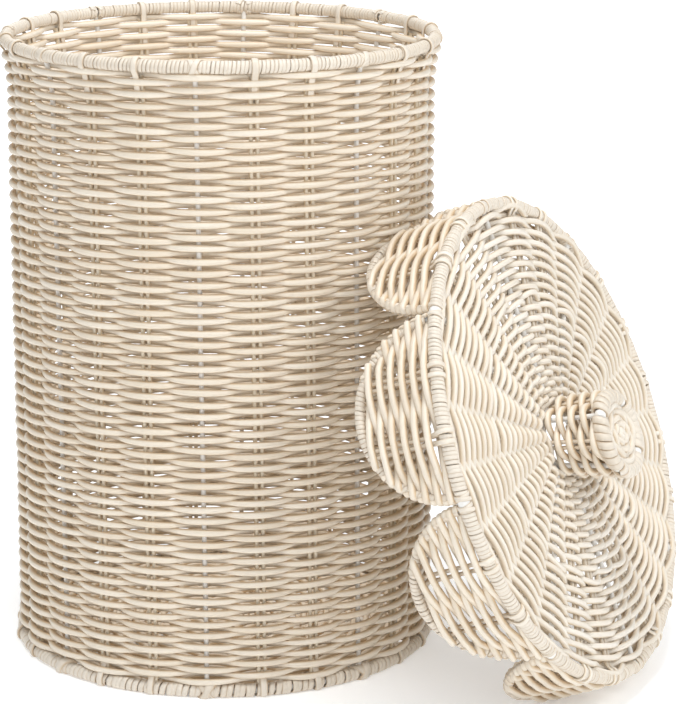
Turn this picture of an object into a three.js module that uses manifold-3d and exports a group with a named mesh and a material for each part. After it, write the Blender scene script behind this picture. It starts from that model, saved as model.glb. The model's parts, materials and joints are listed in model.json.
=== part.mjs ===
// Round woven laundry basket with a loose, scallop-edged lid and a woven knob.
// Cream plastic rattan is woven over a white powder-coated steel frame.
// Millimetres, +Z up. The origin is on the floor, on the basket's own axis.
// The lid leans against the basket on the +X side, standing on two of its petals.

import * as THREE from "three";
import { mergeVertices } from "three/addons/utils/BufferGeometryUtils.js";
import Module from "manifold-3d";

const wasm = await Module();
wasm.setup();

// ---- Driving dimensions ----
const GAP = 0.4;                 // clearance left between touching pieces
const STRAND = 5;                // diameter of the round rattan strand
const FRAME_WIRE = 2.5;          // radius of the steel rings
const ROD = 2;                   // radius of the steel uprights and spokes
const CHANNEL = ROD + GAP;       // radius of the hole a rod runs through

const RIM_RADIUS = 175;          // centreline of the basket's top ring
const RIM_HEIGHT = 508.5;
const RIM_WRAP = 5.2;            // outer radius of the wrapped rim
const BASE_RADIUS = 171.7;       // centreline of the basket's bottom ring
const BASE_HEIGHT = 4.7;         // low enough to leave a flat foot under the wrap
const WALL_RADIUS = 169;         // middle of the woven wall
const WALL_HALF = 1.5 * STRAND;  // a strand passes in front of and behind each stake
const WALL_BOTTOM = 11;
const WALL_TOP = 496;
const FLOOR_RADIUS = 160.5;
const FLOOR_THICKNESS = 12;
const FLOOR_ROD_HEIGHT = 6.5;    // centreline of the crossed rods in the floor
const UPRIGHTS = 8;
const FIRST_UPRIGHT = 21;        // degrees from +X at the rim
const UPRIGHT_TWIST = 1.6;       // degrees that an upright turns on its way down
const UPRIGHT_BEND = 26;         // height over which an upright bends out to each ring
const UPRIGHT_STEPS = 10;

const LID_TILT = 21;             // degrees that the lid's axis rises above level
const LID_X = 302;
const LID_Z = 204.5;
const LID_RADIUS = 194;          // centreline of the lid's ring
const LID_HALF = STRAND;
const PETALS = 8;
const PETAL_DEPTH = 69;          // from the ring's centre to the edge wire's centre
const PETAL_START = 6.2;         // where a petal begins, clear of the wrapped ring
const PETAL_FLARE = 1;           // degrees that a petal leans outwards
const PETAL_SHAPE = 1.1;         // 1 is a half ellipse
const PETAL_WIRE = 1.6;          // radius of the bent edge wire
const PETAL_EDGE = 4.5;          // outer radius of the wrapped edge wire
const PETAL_HALF = 5;            // half the thickness of a petal's weave
const PETAL_SLIT = 35;           // degrees from the middle of its wrap's slit to each side
const PETAL_MARGIN = 0.08;       // share of the edge, at each end, that the weave stays clear of

const KNOB_BASE_RADIUS = 26;     // centreline of the ring at the knob's foot
const KNOB_END_RADIUS = 30;      // centreline of the ring at its end
const KNOB_HEIGHT = 50;
const KNOB_SAG = 9;              // how far the knob's end hangs below the lid's axis
const KNOB_WRAP = 6;
const KNOB_POSTS = 4;
const KNOB_HALF = STRAND;
const KNOB_FOOT = 27;            // middle of the woven sleeve at its foot
const KNOB_HEAD = 29.5;          // and at its head
const KNOB_FACE = 8;             // thickness of the woven end face

const RING_STEPS = 32;
const RING_FLAT = Math.cos(Math.PI / RING_STEPS);   // a faceted ring's flats sit this far in
const KNOB_STEPS = 24;
const WRAP_STEPS = 3;            // straight steps in each half of a wrap's section
const PETAL_STEPS = 10;
const MERGE = 1e-3;              // corners this close are one corner
const EDGE_NUDGE = 0.01;         // share of a petal's edge used to find its direction

const UP = new THREE.Vector3(0, 0, 1);

// ---- Materials ----
const rattan = (color) => new THREE.MeshStandardMaterial({ color, roughness: 0.55, metalness: 0 });
const WEAVE = () => rattan(0xe2d3bb);
const WRAP = () => rattan(0xe8dcc6);
const STEEL = () => new THREE.MeshStandardMaterial({ color: 0xf2f1ee, roughness: 0.35, metalness: 0.1 });

// ---- Small tools ----
const radians = THREE.MathUtils.degToRad;

// Merges shared corners, and turns the faces outwards if the body came out inside out.
function closedBody(source) {
  const bare = source.clone();
  bare.deleteAttribute("normal");
  bare.deleteAttribute("uv");
  const body = mergeVertices(bare, MERGE);
  const corner = [0, 1, 2].map(() => new THREE.Vector3());
  let volume = 0;
  for (let i = 0; i < body.index.count; i += 3) {
    corner.forEach((p, k) => p.fromBufferAttribute(body.attributes.position, body.index.getX(i + k)));
    volume += corner[0].dot(corner[1].clone().cross(corner[2]));
  }
  if (volume < 0) {
    body.index.array.reverse();
  }
  return body;
}

function toSolid(source) {
  const body = closedBody(source);
  const mesh = new wasm.Mesh({
    numProp: 3,
    vertProperties: new Float32Array(body.attributes.position.array),
    triVerts: new Uint32Array(body.index.array),
  });
  return new wasm.Manifold(mesh);
}

function toGeometry(solid) {
  const mesh = solid.getMesh();
  const geometry = new THREE.BufferGeometry();
  geometry.setAttribute("position", new THREE.BufferAttribute(mesh.vertProperties, 3));
  geometry.setIndex(new THREE.BufferAttribute(mesh.triVerts, 1));
  return geometry;
}

const cut = (source, tools) =>
  toGeometry(tools.reduce((solid, tool) => solid.subtract(toSolid(tool)), toSolid(source)));

const join = (pieces) =>
  toGeometry(pieces.map(toSolid).reduce((all, piece) => all.add(piece)));

function piece(parent, name, geometry, material) {
  const mesh = new THREE.Mesh(closedBody(geometry), material);
  mesh.name = name;
  parent.add(mesh);
}

// A profile of [radius, height] corners, turned about Z.
function turned(profile, steps) {
  const points = [...profile, profile[0]].map(([r, z]) => new THREE.Vector2(r, z));
  return new THREE.LatheGeometry(points, steps).rotateX(Math.PI / 2);
}

function circleProfile(radius, height, size, sides) {
  const turn = (2 * Math.PI) / sides;
  const corner = (k) => [radius + size * Math.cos(k * turn), height + size * Math.sin(k * turn)];
  return Array.from({ length: sides }, (_, k) => corner(k));
}

// The section of a wrap: a thick letter C around a wire, with straight sides to its slit.
// The slit faces `facing` degrees and is wide enough for a rod.
function wrapProfile(radius, height, size, facing) {
  const inner = FRAME_WIRE + GAP;
  const arc = (r) => {
    const half = Math.asin(CHANNEL / r);
    const span = 2 * (Math.PI - half);
    const angle = (k) => radians(facing) + half + (span * k) / (2 * WRAP_STEPS);
    return Array.from({ length: 2 * WRAP_STEPS + 1 }, (_, k) => [r, angle(k)]);
  };
  const place = ([r, a]) => [radius + r * Math.cos(a), height + r * Math.sin(a)];
  return [...arc(size).map(place), ...arc(inner).reverse().map(place)];
}

// A round bar along a curve.
function bar(curve, radius, steps = 1, sides = 6) {
  const outline = new THREE.Shape();
  for (let k = 0; k < sides; k += 1) {
    const a = (2 * Math.PI * k) / sides;
    const move = k === 0 ? "moveTo" : "lineTo";
    outline[move](radius * Math.cos(a), radius * Math.sin(a));
  }
  return new THREE.ExtrudeGeometry(outline, { steps, extrudePath: curve, bevelEnabled: false });
}

const straight = (from, to, radius) => bar(new THREE.LineCurve3(from, to), radius);

const polar = (radius, degrees, z) =>
  new THREE.Vector3(radius * Math.cos(radians(degrees)), radius * Math.sin(radians(degrees)), z);

// A block whose three sides are bent to follow place(u, v, w), with u, v and w from 0 to 1.
function bentBlock(uSteps, vSteps, place) {
  const geometry = new THREE.BoxGeometry(1, 1, 1, uSteps, vSteps, 1);
  const position = geometry.attributes.position;
  for (let i = 0; i < position.count; i += 1) {
    const p = place(position.getX(i) + 0.5, position.getY(i) + 0.5, position.getZ(i) + 0.5);
    position.setXYZ(i, p.x, p.y, p.z);
  }
  return geometry;
}

// ---- Basket ----
const uprightAngle = (k) => FIRST_UPRIGHT + (360 / UPRIGHTS) * k;

// An upright runs inside the wall and bends out to meet both rings.
function uprightCurve(k) {
  const foot = BASE_HEIGHT + FRAME_WIRE + GAP;
  const head = RIM_HEIGHT - FRAME_WIRE - GAP;
  const at = (radius, z) => polar(radius, uprightAngle(k) + UPRIGHT_TWIST * (1 - z / RIM_HEIGHT), z);
  return new THREE.CatmullRomCurve3([
    at(BASE_RADIUS, foot),
    at(WALL_RADIUS, foot + UPRIGHT_BEND),
    at(WALL_RADIUS, (foot + head) / 2),
    at(WALL_RADIUS, head - UPRIGHT_BEND),
    at(RIM_RADIUS, head),
  ], false, "centripetal");
}

function basketFrame(basket) {
  const topRing = circleProfile(RIM_RADIUS, RIM_HEIGHT, FRAME_WIRE, 6);
  piece(basket, "basket_top_ring", turned(topRing, RING_STEPS), STEEL());
  const baseRing = circleProfile(BASE_RADIUS, BASE_HEIGHT, FRAME_WIRE, 6);
  piece(basket, "basket_base_ring", turned(baseRing, RING_STEPS), STEEL());
  for (let k = 0; k < UPRIGHTS; k += 1) {
    piece(basket, `basket_upright_${k + 1}`, bar(uprightCurve(k), ROD, UPRIGHT_STEPS), STEEL());
  }
}

function floorRods(radius, length) {
  const end = (degrees) => polar(length, degrees, FLOOR_ROD_HEIGHT);
  return Array.from({ length: UPRIGHTS / 2 }, (_, k) =>
    straight(end(uprightAngle(k)), end(uprightAngle(k) + 180), radius));
}

function basketFloor(basket) {
  const rodEnd = (BASE_RADIUS - RIM_WRAP) * RING_FLAT - GAP;
  piece(basket, "base_cross_frame", join(floorRods(ROD, rodEnd)), STEEL());
  const disc = turned([[0, 0], [FLOOR_RADIUS, 0], [FLOOR_RADIUS, FLOOR_THICKNESS], [0, FLOOR_THICKNESS]],
    RING_STEPS);
  piece(basket, "base_weave", cut(disc, [join(floorRods(CHANNEL, RIM_RADIUS))]), WEAVE());
}

function basketWall(basket) {
  const inside = WALL_RADIUS - WALL_HALF;
  const outside = WALL_RADIUS + WALL_HALF;
  const shell = turned([[inside, WALL_BOTTOM], [outside, WALL_BOTTOM], [outside, WALL_TOP], [inside, WALL_TOP]],
    RING_STEPS);
  const channels = Array.from({ length: UPRIGHTS }, (_, k) => bar(uprightCurve(k), CHANNEL, UPRIGHT_STEPS));
  piece(basket, "side_weave", cut(shell, channels), WEAVE());
}

function basketWraps(basket) {
  const rim = wrapProfile(RIM_RADIUS, RIM_HEIGHT, RIM_WRAP, -90);
  piece(basket, "rim_binding", turned(rim, RING_STEPS), WRAP());
  const foot = wrapProfile(BASE_RADIUS, BASE_HEIGHT, RIM_WRAP, 90).map(([r, z]) => [r, Math.max(z, 0)]);
  piece(basket, "base_binding", turned(foot, RING_STEPS), WRAP());
}

function makeBasket() {
  const basket = new THREE.Group();
  basketFrame(basket);
  basketFloor(basket);
  basketWall(basket);
  basketWraps(basket);
  return basket;
}

// ---- Lid, in its own frame: the ring lies in XY and the knob rises along +Z ----
const spokeAngle = (k) => (360 / PETALS) * k;

function lidFrame(lid) {
  const ring = circleProfile(LID_RADIUS, 0, FRAME_WIRE, 6);
  piece(lid, "lid_ring", turned(ring, RING_STEPS), STEEL());
  const inner = KNOB_BASE_RADIUS + ROD + GAP;
  const outer = LID_RADIUS - FRAME_WIRE - GAP;
  for (let k = 0; k < PETALS; k += 1) {
    const a = spokeAngle(k);
    piece(lid, `lid_spoke_${k + 1}`, straight(polar(inner, a, 0), polar(outer, a, 0), ROD), STEEL());
  }
}

function lidWeave(lid) {
  const inside = KNOB_BASE_RADIUS + ROD + GAP + LID_HALF * KNOB_SAG / KNOB_HEIGHT;
  const outside = LID_RADIUS - RIM_WRAP - GAP;
  const disc = turned([[inside, -LID_HALF], [outside, -LID_HALF], [outside, LID_HALF], [inside, LID_HALF]],
    RING_STEPS);
  const channels = Array.from({ length: PETALS }, (_, k) =>
    straight(polar(KNOB_BASE_RADIUS, spokeAngle(k), 0), polar(LID_RADIUS, spokeAngle(k), 0), CHANNEL));
  piece(lid, "lid_top_weave", cut(disc, channels), WEAVE());
  const wrap = wrapProfile(LID_RADIUS, 0, RIM_WRAP, 180);
  piece(lid, "lid_rim_binding", turned(wrap, RING_STEPS), WRAP());
}

// Degrees from a petal's middle to the end of its edge wire.
const PETAL_SPAN = 180 / PETALS - THREE.MathUtils.radToDeg((PETAL_EDGE + GAP) / LID_RADIUS);

// A point on petal k: `side` runs from -1 to 1 between its two spokes, `depth` runs down
// from the ring, and `out` is the distance outwards from the petal's middle surface.
function petalPoint(k, side, depth, out) {
  const flare = radians(PETAL_FLARE);
  const angle = spokeAngle(k + 0.5) + side * PETAL_SPAN;
  const radius = LID_RADIUS + depth * Math.sin(flare) + out * Math.cos(flare);
  return polar(radius, angle, -depth * Math.cos(flare) + out * Math.sin(flare));
}

// The petal's scalloped edge, for t from 0 at one spoke to 1 at the next.
const edgeSide = (t) => -Math.cos(Math.PI * t);
const edgeDepth = (t) =>
  PETAL_START + (PETAL_DEPTH - PETAL_START) * Math.sin(Math.PI * t) ** PETAL_SHAPE;
const edgePoint = (k, t) => petalPoint(k, edgeSide(t), edgeDepth(Math.min(Math.max(t, 0), 1)), 0);

// Directions along the edge, away from the petal in its surface, and outwards from the lid.
function edgeFrame(k, t) {
  const ahead = edgePoint(k, Math.min(t + EDGE_NUDGE, 1));
  const along = ahead.sub(edgePoint(k, Math.max(t - EDGE_NUDGE, 0))).normalize();
  const outwards = petalPoint(k, edgeSide(t), 0, 1).sub(petalPoint(k, edgeSide(t), 0, 0)).normalize();
  const away = along.clone().cross(outwards).normalize();
  return { away, outwards: away.clone().cross(along).normalize() };
}

function petalFrame(k) {
  const points = Array.from({ length: PETAL_STEPS + 1 }, (_, i) => edgePoint(k, i / PETAL_STEPS));
  return bar(new THREE.CatmullRomCurve3(points, false, "centripetal"), PETAL_WIRE, PETAL_STEPS);
}

// The wrap is a C around the edge wire, open towards the petal's weave.
function petalBinding(k) {
  const inner = PETAL_WIRE + 2 * GAP;
  const aroundSteps = 5;
  return bentBlock(PETAL_STEPS, aroundSteps, (u, v, w) => {
    const { away, outwards } = edgeFrame(k, u);
    const around = (2 * v - 1) * (Math.PI - radians(PETAL_SLIT));
    const size = inner + w * (PETAL_EDGE - inner);
    return edgePoint(k, u)
      .addScaledVector(away, size * Math.cos(around))
      .addScaledVector(outwards, size * Math.sin(around));
  });
}

// The weave fills the petal inside its wrapped edge.
function petalWeave(k) {
  const clear = PETAL_EDGE + GAP;
  const narrow = 1 - clear / (radians(PETAL_SPAN) * LID_RADIUS);
  return bentBlock(PETAL_STEPS - 2, 2, (u, v, w) => {
    const t = PETAL_MARGIN + u * (1 - 2 * PETAL_MARGIN);
    const deepest = edgeDepth(t) - clear;
    const depth = PETAL_START + v * (deepest - PETAL_START);
    return petalPoint(k, narrow * edgeSide(t), depth, (2 * w - 1) * PETAL_HALF);
  });
}

function lidPetals(lid) {
  for (let k = 0; k < PETALS; k += 1) {
    piece(lid, `petal_frame_${k + 1}`, petalFrame(k), STEEL());
    piece(lid, `petal_binding_${k + 1}`, petalBinding(k), WRAP());
    piece(lid, `petal_weave_${k + 1}`, petalWeave(k), WEAVE());
  }
}

// ---- Knob, leaning down from the lid's axis ----
function knobPiece(lid, name, geometry, material) {
  const lean = new THREE.Matrix4().set(
    1, 0, 0, 0,
    0, 1, -KNOB_SAG / KNOB_HEIGHT, 0,
    0, 0, 1, 0,
    0, 0, 0, 1);
  piece(lid, name, geometry.applyMatrix4(lean), material);
}

const postAngle = (k) => 45 + (360 / KNOB_POSTS) * k;

function knobPost(k, radius, reach) {
  const from = polar(KNOB_BASE_RADIUS, postAngle(k), ROD + GAP - reach);
  const to = polar(KNOB_END_RADIUS, postAngle(k), KNOB_HEIGHT - FRAME_WIRE - GAP + reach);
  return straight(from, to, radius);
}

function knobFrame(lid) {
  const base = circleProfile(KNOB_BASE_RADIUS, 0, ROD, 6);
  knobPiece(lid, "knob_base_ring", turned(base, KNOB_STEPS), STEEL());
  const end = circleProfile(KNOB_END_RADIUS, KNOB_HEIGHT, FRAME_WIRE, 6);
  knobPiece(lid, "knob_end_ring", turned(end, KNOB_STEPS), STEEL());
  for (let k = 0; k < KNOB_POSTS; k += 1) {
    knobPiece(lid, `knob_post_${k + 1}`, knobPost(k, ROD, 0), STEEL());
  }
}

function knobWeave(lid) {
  const bottom = LID_HALF + GAP;
  const top = KNOB_HEIGHT - KNOB_WRAP - GAP;
  const sleeve = turned([
    [KNOB_FOOT - KNOB_HALF, bottom],
    [KNOB_FOOT + KNOB_HALF, bottom],
    [KNOB_HEAD + KNOB_HALF, top],
    [KNOB_HEAD - KNOB_HALF, top],
  ], KNOB_STEPS);
  const channels = Array.from({ length: KNOB_POSTS }, (_, k) => knobPost(k, CHANNEL, ROD));
  knobPiece(lid, "knob_side_weave", cut(sleeve, channels), WEAVE());
  const wrap = wrapProfile(KNOB_END_RADIUS, KNOB_HEIGHT, KNOB_WRAP, -90);
  knobPiece(lid, "knob_rim_binding", turned(wrap, KNOB_STEPS), WRAP());
  const faceRadius = KNOB_END_RADIUS - KNOB_WRAP - GAP;
  const face = new THREE.CylinderGeometry(faceRadius, faceRadius, KNOB_FACE, KNOB_STEPS);
  knobPiece(lid, "knob_top_weave", face.rotateX(Math.PI / 2).translate(0, 0, KNOB_HEIGHT), WEAVE());
}

// The lid's X lies level across the basket, and its Z is the knob's axis, pointing away and up.
function makeLid() {
  const lid = new THREE.Group();
  lidFrame(lid);
  lidWeave(lid);
  lidPetals(lid);
  knobFrame(lid);
  knobWeave(lid);
  const axis = new THREE.Vector3(Math.cos(radians(LID_TILT)), 0, Math.sin(radians(LID_TILT)));
  const level = UP.clone().cross(axis).normalize();
  const turn = new THREE.Matrix4().makeBasis(level, axis.clone().cross(level), axis);
  lid.quaternion.setFromRotationMatrix(turn);
  lid.position.set(LID_X, 0, LID_Z);
  return lid;
}

const group = new THREE.Group();
group.name = "laundry_basket";
group.add(makeBasket(), makeLid());

export default group;
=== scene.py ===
"""The looks of the woven laundry basket: every strand, stake and wrap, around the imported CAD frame.

Metres, in the CAD's frame: the basket's axis is Z, and the lid leans on its +X side.
"""

import json
import math
import bpy
import numpy as np
from mathutils import Matrix, Vector


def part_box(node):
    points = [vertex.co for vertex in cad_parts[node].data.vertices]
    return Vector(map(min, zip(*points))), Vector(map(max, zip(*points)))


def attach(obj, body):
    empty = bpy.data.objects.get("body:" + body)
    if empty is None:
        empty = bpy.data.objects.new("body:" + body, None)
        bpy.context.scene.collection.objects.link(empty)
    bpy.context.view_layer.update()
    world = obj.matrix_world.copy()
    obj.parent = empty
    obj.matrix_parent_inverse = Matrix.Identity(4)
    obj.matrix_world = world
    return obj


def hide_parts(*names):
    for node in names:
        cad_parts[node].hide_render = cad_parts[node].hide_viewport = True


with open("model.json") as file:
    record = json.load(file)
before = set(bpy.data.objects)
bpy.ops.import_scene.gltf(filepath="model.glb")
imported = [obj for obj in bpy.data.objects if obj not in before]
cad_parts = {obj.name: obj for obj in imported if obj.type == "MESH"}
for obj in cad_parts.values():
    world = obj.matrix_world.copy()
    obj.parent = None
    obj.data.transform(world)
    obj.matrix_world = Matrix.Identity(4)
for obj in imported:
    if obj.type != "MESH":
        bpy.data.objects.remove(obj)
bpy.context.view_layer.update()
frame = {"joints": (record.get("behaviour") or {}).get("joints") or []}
random = np.random.default_rng(11)

# ---- Sizes, in metres ----
MM = 0.001
STAKES = 24                      # every third one is a steel rod, the others are pairs of strands
STEEL_EVERY = 3
PETALS = 8                       # also the number of uprights, and of the lid's spokes
STEP = 2 * math.pi / PETALS      # from one upright or spoke to the next
ROD = 2.0 * MM                   # radius of the uprights, spokes and posts
RING_WIRE = 2.5 * MM             # radius of the wire of the big rings
RIM_WRAP = 5.2 * MM              # outer radius of the wrap round the rim
STRAND = 2.95 * MM               # radius of the wall's round strand
PAIR = 1.75 * MM                 # radius of each strand of a paired stake
PAIR_APART = 2.6 * MM            # from the stake's middle to each strand of the pair
ROW_PITCH = 4.75 * MM
SAMPLES = 8                      # points along a strand from one stake to the next
WALL_SWING = 4.5 * MM            # how far a wall strand goes out and in past the stakes
CROSSING = 0.77                  # how tall a strand stays where it crosses its neighbours
WALL_FACE = 8.3 * MM             # from the stakes' circle to the CAD wall's outer face


def middle(node):
    low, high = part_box(node)
    return (low + high) / 2


def half_width(node):
    low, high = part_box(node)
    return (high.y - low.y) / 2


RIM_RADIUS = half_width("basket_top_ring") - RING_WIRE
RIM_HEIGHT = middle("basket_top_ring").z
BASE_RADIUS = half_width("basket_base_ring") - RING_WIRE
BASE_HEIGHT = middle("basket_base_ring").z
WALL_RADIUS = half_width("side_weave") - WALL_FACE
WALL_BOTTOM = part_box("side_weave")[0].z
FLOOR_HEIGHT = middle("base_weave").z
FIRST_UPRIGHT = math.radians(21)       # the first upright's bearing at the rim
UPRIGHT_TWIST = math.radians(1.6)      # how much further round it stands on the floor
LID_RADIUS = half_width("lid_ring") - RING_WIRE
KNOB_FOOT = half_width("knob_base_ring") - ROD
KNOB_END = half_width("knob_end_ring") - RING_WIRE

# The lid's own frame: X lies level across the basket, Z is the knob's axis.
LID_AXIS = np.array(frame["joints"][0]["axis"])
LID_LEVEL = np.array([0.0, 1.0, 0.0])
LID_UP = np.cross(LID_AXIS, LID_LEVEL)
LID_CENTRE = np.array(middle("lid_ring"))
KNOB_REACH = np.array(middle("knob_end_ring") - middle("knob_base_ring"))
KNOB_HEIGHT = float(KNOB_REACH @ LID_AXIS)
KNOB_SAG = -float(KNOB_REACH @ LID_UP)


# ---- Strands ----
def unit(v):
    return v / np.linalg.norm(v, axis=-1, keepdims=True)


class Strands:
    """Collects round strands along given routes, and makes one mesh of them."""

    def __init__(self):
        self.points = []
        self.quads = []
        self.fans = []
        self.lay = []
        self.count = 0

    def add(self, route, out, size, closed=False, sides=8, roundness=1.0):
        """A strand along route, size[0] thick towards out and size[1] across.

        Roundness is 1 for an oval, and less for a flat strip.
        """
        route, out = np.asarray(route, float), np.asarray(out, float)
        if closed:
            along = np.roll(route, -1, 0) - np.roll(route, 1, 0)
        else:
            along = np.gradient(route, axis=0)
        along = unit(along)
        across = unit(np.cross(along, out))
        out = np.cross(across, along)
        turn = full_circle(sides)
        rise = np.sign(np.cos(turn)) * np.abs(np.cos(turn)) ** roundness
        reach = np.sign(np.sin(turn)) * np.abs(np.sin(turn)) ** roundness
        thick = np.broadcast_to(size[0], len(route))[:, None, None]
        wide = np.broadcast_to(size[1], len(route))[:, None, None]
        ring = (route[:, None] + thick * rise[None, :, None] * out[:, None]
                + wide * reach[None, :, None] * across[:, None])
        self.points.append(ring.reshape(-1, 3))
        self.describe(route, turn)
        self.cover(len(route), sides, closed)
        self.count += len(route) * sides

    def describe(self, route, turn):
        """Notes how far along and across the strand each point is, and a number for the whole strand."""
        distance = np.concatenate([[0], np.cumsum(np.linalg.norm(np.diff(route, axis=0), axis=1))])
        lay = np.zeros((len(route), len(turn), 3))
        lay[..., 0] = distance[:, None]
        lay[..., 1] = np.sin(turn)[None, :]
        lay[..., 2] = random.random()
        self.lay.append(lay.reshape(-1, 3))

    def cover(self, steps, sides, closed):
        """The strand's faces: a tube of quads, with a cap on each end of an open one."""
        spans = steps if closed else steps - 1
        i = np.arange(spans)[:, None]
        j = np.arange(sides)[None, :]
        following, beside = (i + 1) % steps, (j + 1) % sides
        quads = np.stack([i * sides + j, i * sides + beside, following * sides + beside,
                          following * sides + j], -1).reshape(-1, 4)
        self.quads.append(quads + self.count)
        if not closed:
            end = np.arange(sides)
            self.fans.append(end + self.count)
            self.fans.append(end[::-1] + self.count + (steps - 1) * sides)

    def mesh(self, name, body, material, slot, replaced=()):
        corners = [np.concatenate(self.quads).ravel()] + self.fans
        totals = np.concatenate([np.full(sum(len(q) for q in self.quads), 4)]
                                + [np.array([len(f)]) for f in self.fans]).astype(np.int32)
        loops = np.concatenate(corners).astype(np.int32)
        data = bpy.data.meshes.new(name)
        data.vertices.add(self.count)
        data.vertices.foreach_set("co", np.concatenate(self.points).astype(np.float32).ravel())
        data.loops.add(len(loops))
        data.loops.foreach_set("vertex_index", loops)
        data.polygons.add(len(totals))
        starts = np.concatenate([[0], np.cumsum(totals)[:-1]]).astype(np.int32)
        data.polygons.foreach_set("loop_start", starts)
        data.polygons.foreach_set("loop_total", totals)
        lay = data.attributes.new("lay", "FLOAT_VECTOR", "POINT")
        lay.data.foreach_set("vector", np.concatenate(self.lay).astype(np.float32).ravel())
        data.update(calc_edges=True)
        data.polygons.foreach_set("use_smooth", np.ones(len(totals), bool))
        data.materials.append(material)
        piece = bpy.data.objects.new(name, data)
        bpy.context.scene.collection.objects.link(piece)
        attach(piece, body)
        if replaced:
            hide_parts(*replaced)
        return piece


def full_circle(count):
    """Evenly spaced angles, once round."""
    return 2 * math.pi * np.arange(count) / count


def polar(radius, angle, z):
    radius, angle, z = np.broadcast_arrays(radius, angle, z)
    return np.stack([radius * np.cos(angle), radius * np.sin(angle), z], -1).astype(float)


def outward(angle):
    return polar(1.0, angle, 0.0)


def upward(count):
    return np.tile([0, 0, 1.0], (count, 1))


def lid_place(points):
    """From the lid's own frame to the CAD's."""
    return LID_CENTRE + lid_turn(points)


def lid_turn(vectors):
    return np.asarray(vectors) @ np.array([LID_LEVEL, LID_UP, LID_AXIS])


def on_lid(route, out):
    return lid_place(route), lid_turn(out)


def on_knob(route, out):
    """Onto the lid, for the knob, whose end hangs lower than its foot."""
    return on_lid(route - np.outer(route[:, 2], [0, KNOB_SAG / KNOB_HEIGHT, 0]), out)


def on_floor(route, out):
    return route + [0, 0, FLOOR_HEIGHT], out


FASTEST_WAVE = 14                # a wandering line has fewer waves than this in a round


def wander(count, waves=5):
    """A closed, smooth random line of about unit height, for the hand-made unevenness."""
    t = full_circle(count)
    line = np.zeros(count)
    for k in random.integers(1, FASTEST_WAVE, waves):
        line += random.normal() * np.sin(k * t + random.uniform(0, 2 * math.pi))
    return line / math.sqrt(waves)


def smooth(corners, steps=4):
    """A Catmull-Rom line through the corners."""
    padded = np.vstack([2 * corners[0] - corners[1], corners, 2 * corners[-1] - corners[-2]])
    t = np.linspace(0, 1, steps, endpoint=False)[:, None]
    parts = []
    for a, b, c, d in zip(padded, padded[1:], padded[2:], padded[3:]):
        parts.append(0.5 * (2 * b + (c - a) * t + (2 * a - 5 * b + 4 * c - d) * t ** 2
                            + (3 * b - a - 3 * c + d) * t ** 3))
    return np.vstack(parts + [corners[-1:]])


def stake_phase(z):
    """The first upright's bearing at that height."""
    return FIRST_UPRIGHT + UPRIGHT_TWIST * (1 - z / RIM_HEIGHT)


def is_pair(stake):
    return stake % STEEL_EVERY != 0


# ---- Materials ----
PATCH_STRETCH = (1.0, 0.05, 37.0)    # along, across, and from one strand to the next
GRAIN_STRETCH = (14.0, 4.0, 91.0)
PATCH_SHARE = 0.55                   # how much of the tint goes in patches along the strand
OWN_SHARE = 0.45                     # how much of it is the strand's own
DEEP_AT, PALE_AT = 0.2, 0.75
GRAIN_FROM, GRAIN_TO = 0.3, 0.7      # the part of the noise that the grain lines use
DARKEST_GRAIN, LIGHTEST_GRAIN = 0.93, 1.03
FLANK_SHADE_FROM = 0.55                  # how far across the strand the painted shade on its flank begins
RATTAN_ROUGHNESS = 0.38
STEEL_ROUGHNESS = 0.35
FLOOR_ROUGHNESS = 0.9


def node(tree, kind, **values):
    made = tree.nodes.new(kind)
    for key, value in values.items():
        if key in made.inputs:
            made.inputs[key].default_value = value
        else:
            setattr(made, key, value)
    return made


def new_material(name, roughness):
    material = bpy.data.materials.new(name)
    material.use_nodes = True
    tree = material.node_tree
    tree.nodes.clear()
    surface = node(tree, "ShaderNodeBsdfPrincipled", Roughness=roughness)
    output = node(tree, "ShaderNodeOutputMaterial")
    tree.links.new(surface.outputs[0], output.inputs[0])
    return material, tree, surface


def mapped(tree, value, from_low, from_high, to_low, to_high, kind="LINEAR"):
    """Brings a value from one range into another."""
    ends = {"From Min": from_low, "From Max": from_high, "To Min": to_low, "To Max": to_high}
    made = node(tree, "ShaderNodeMapRange", interpolation_type=kind, **ends)
    tree.links.new(value, made.inputs["Value"])
    return made.outputs[0]


def ramp(tree, factor, first, last, start=0.0, end=1.0):
    """A colour that goes from first to last while factor goes from start to end."""
    made = node(tree, "ShaderNodeValToRGB")
    for element, colour, place in zip(made.color_ramp.elements, (first, last), (start, end)):
        element.color = (*colour, 1)
        element.position = place
    tree.links.new(factor, made.inputs[0])
    return made.outputs[0]


def stretched(tree, vector, factors):
    made = node(tree, "ShaderNodeVectorMath", operation="MULTIPLY")
    made.inputs[1].default_value = factors
    tree.links.new(vector, made.inputs[0])
    return made.outputs[0]


def noise(tree, where, **values):
    made = node(tree, "ShaderNodeTexNoise", **values)
    tree.links.new(where, made.inputs["Vector"])
    return made.outputs["Fac"]


def raised(tree, surface, height, strength, distance):
    made = node(tree, "ShaderNodeBump", Strength=strength, Distance=distance)
    tree.links.new(height, made.inputs["Height"])
    tree.links.new(made.outputs[0], surface.inputs["Normal"])


def strand_tint(tree, lay, own, pale, deep):
    """Each strand's own shade between pale and deep, with slow patches along it."""
    patches = noise(tree, stretched(tree, lay, PATCH_STRETCH), Scale=28.0, Detail=2.0)
    weighed = node(tree, "ShaderNodeMath", operation="MULTIPLY")
    weighed.inputs[1].default_value = OWN_SHARE
    tree.links.new(own, weighed.inputs[0])
    mix = node(tree, "ShaderNodeMath", operation="MULTIPLY_ADD")
    mix.inputs[1].default_value = PATCH_SHARE
    tree.links.new(patches, mix.inputs[0])
    tree.links.new(weighed.outputs[0], mix.inputs[2])
    return ramp(tree, mix.outputs[0], deep, pale, DEEP_AT, PALE_AT)


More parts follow.
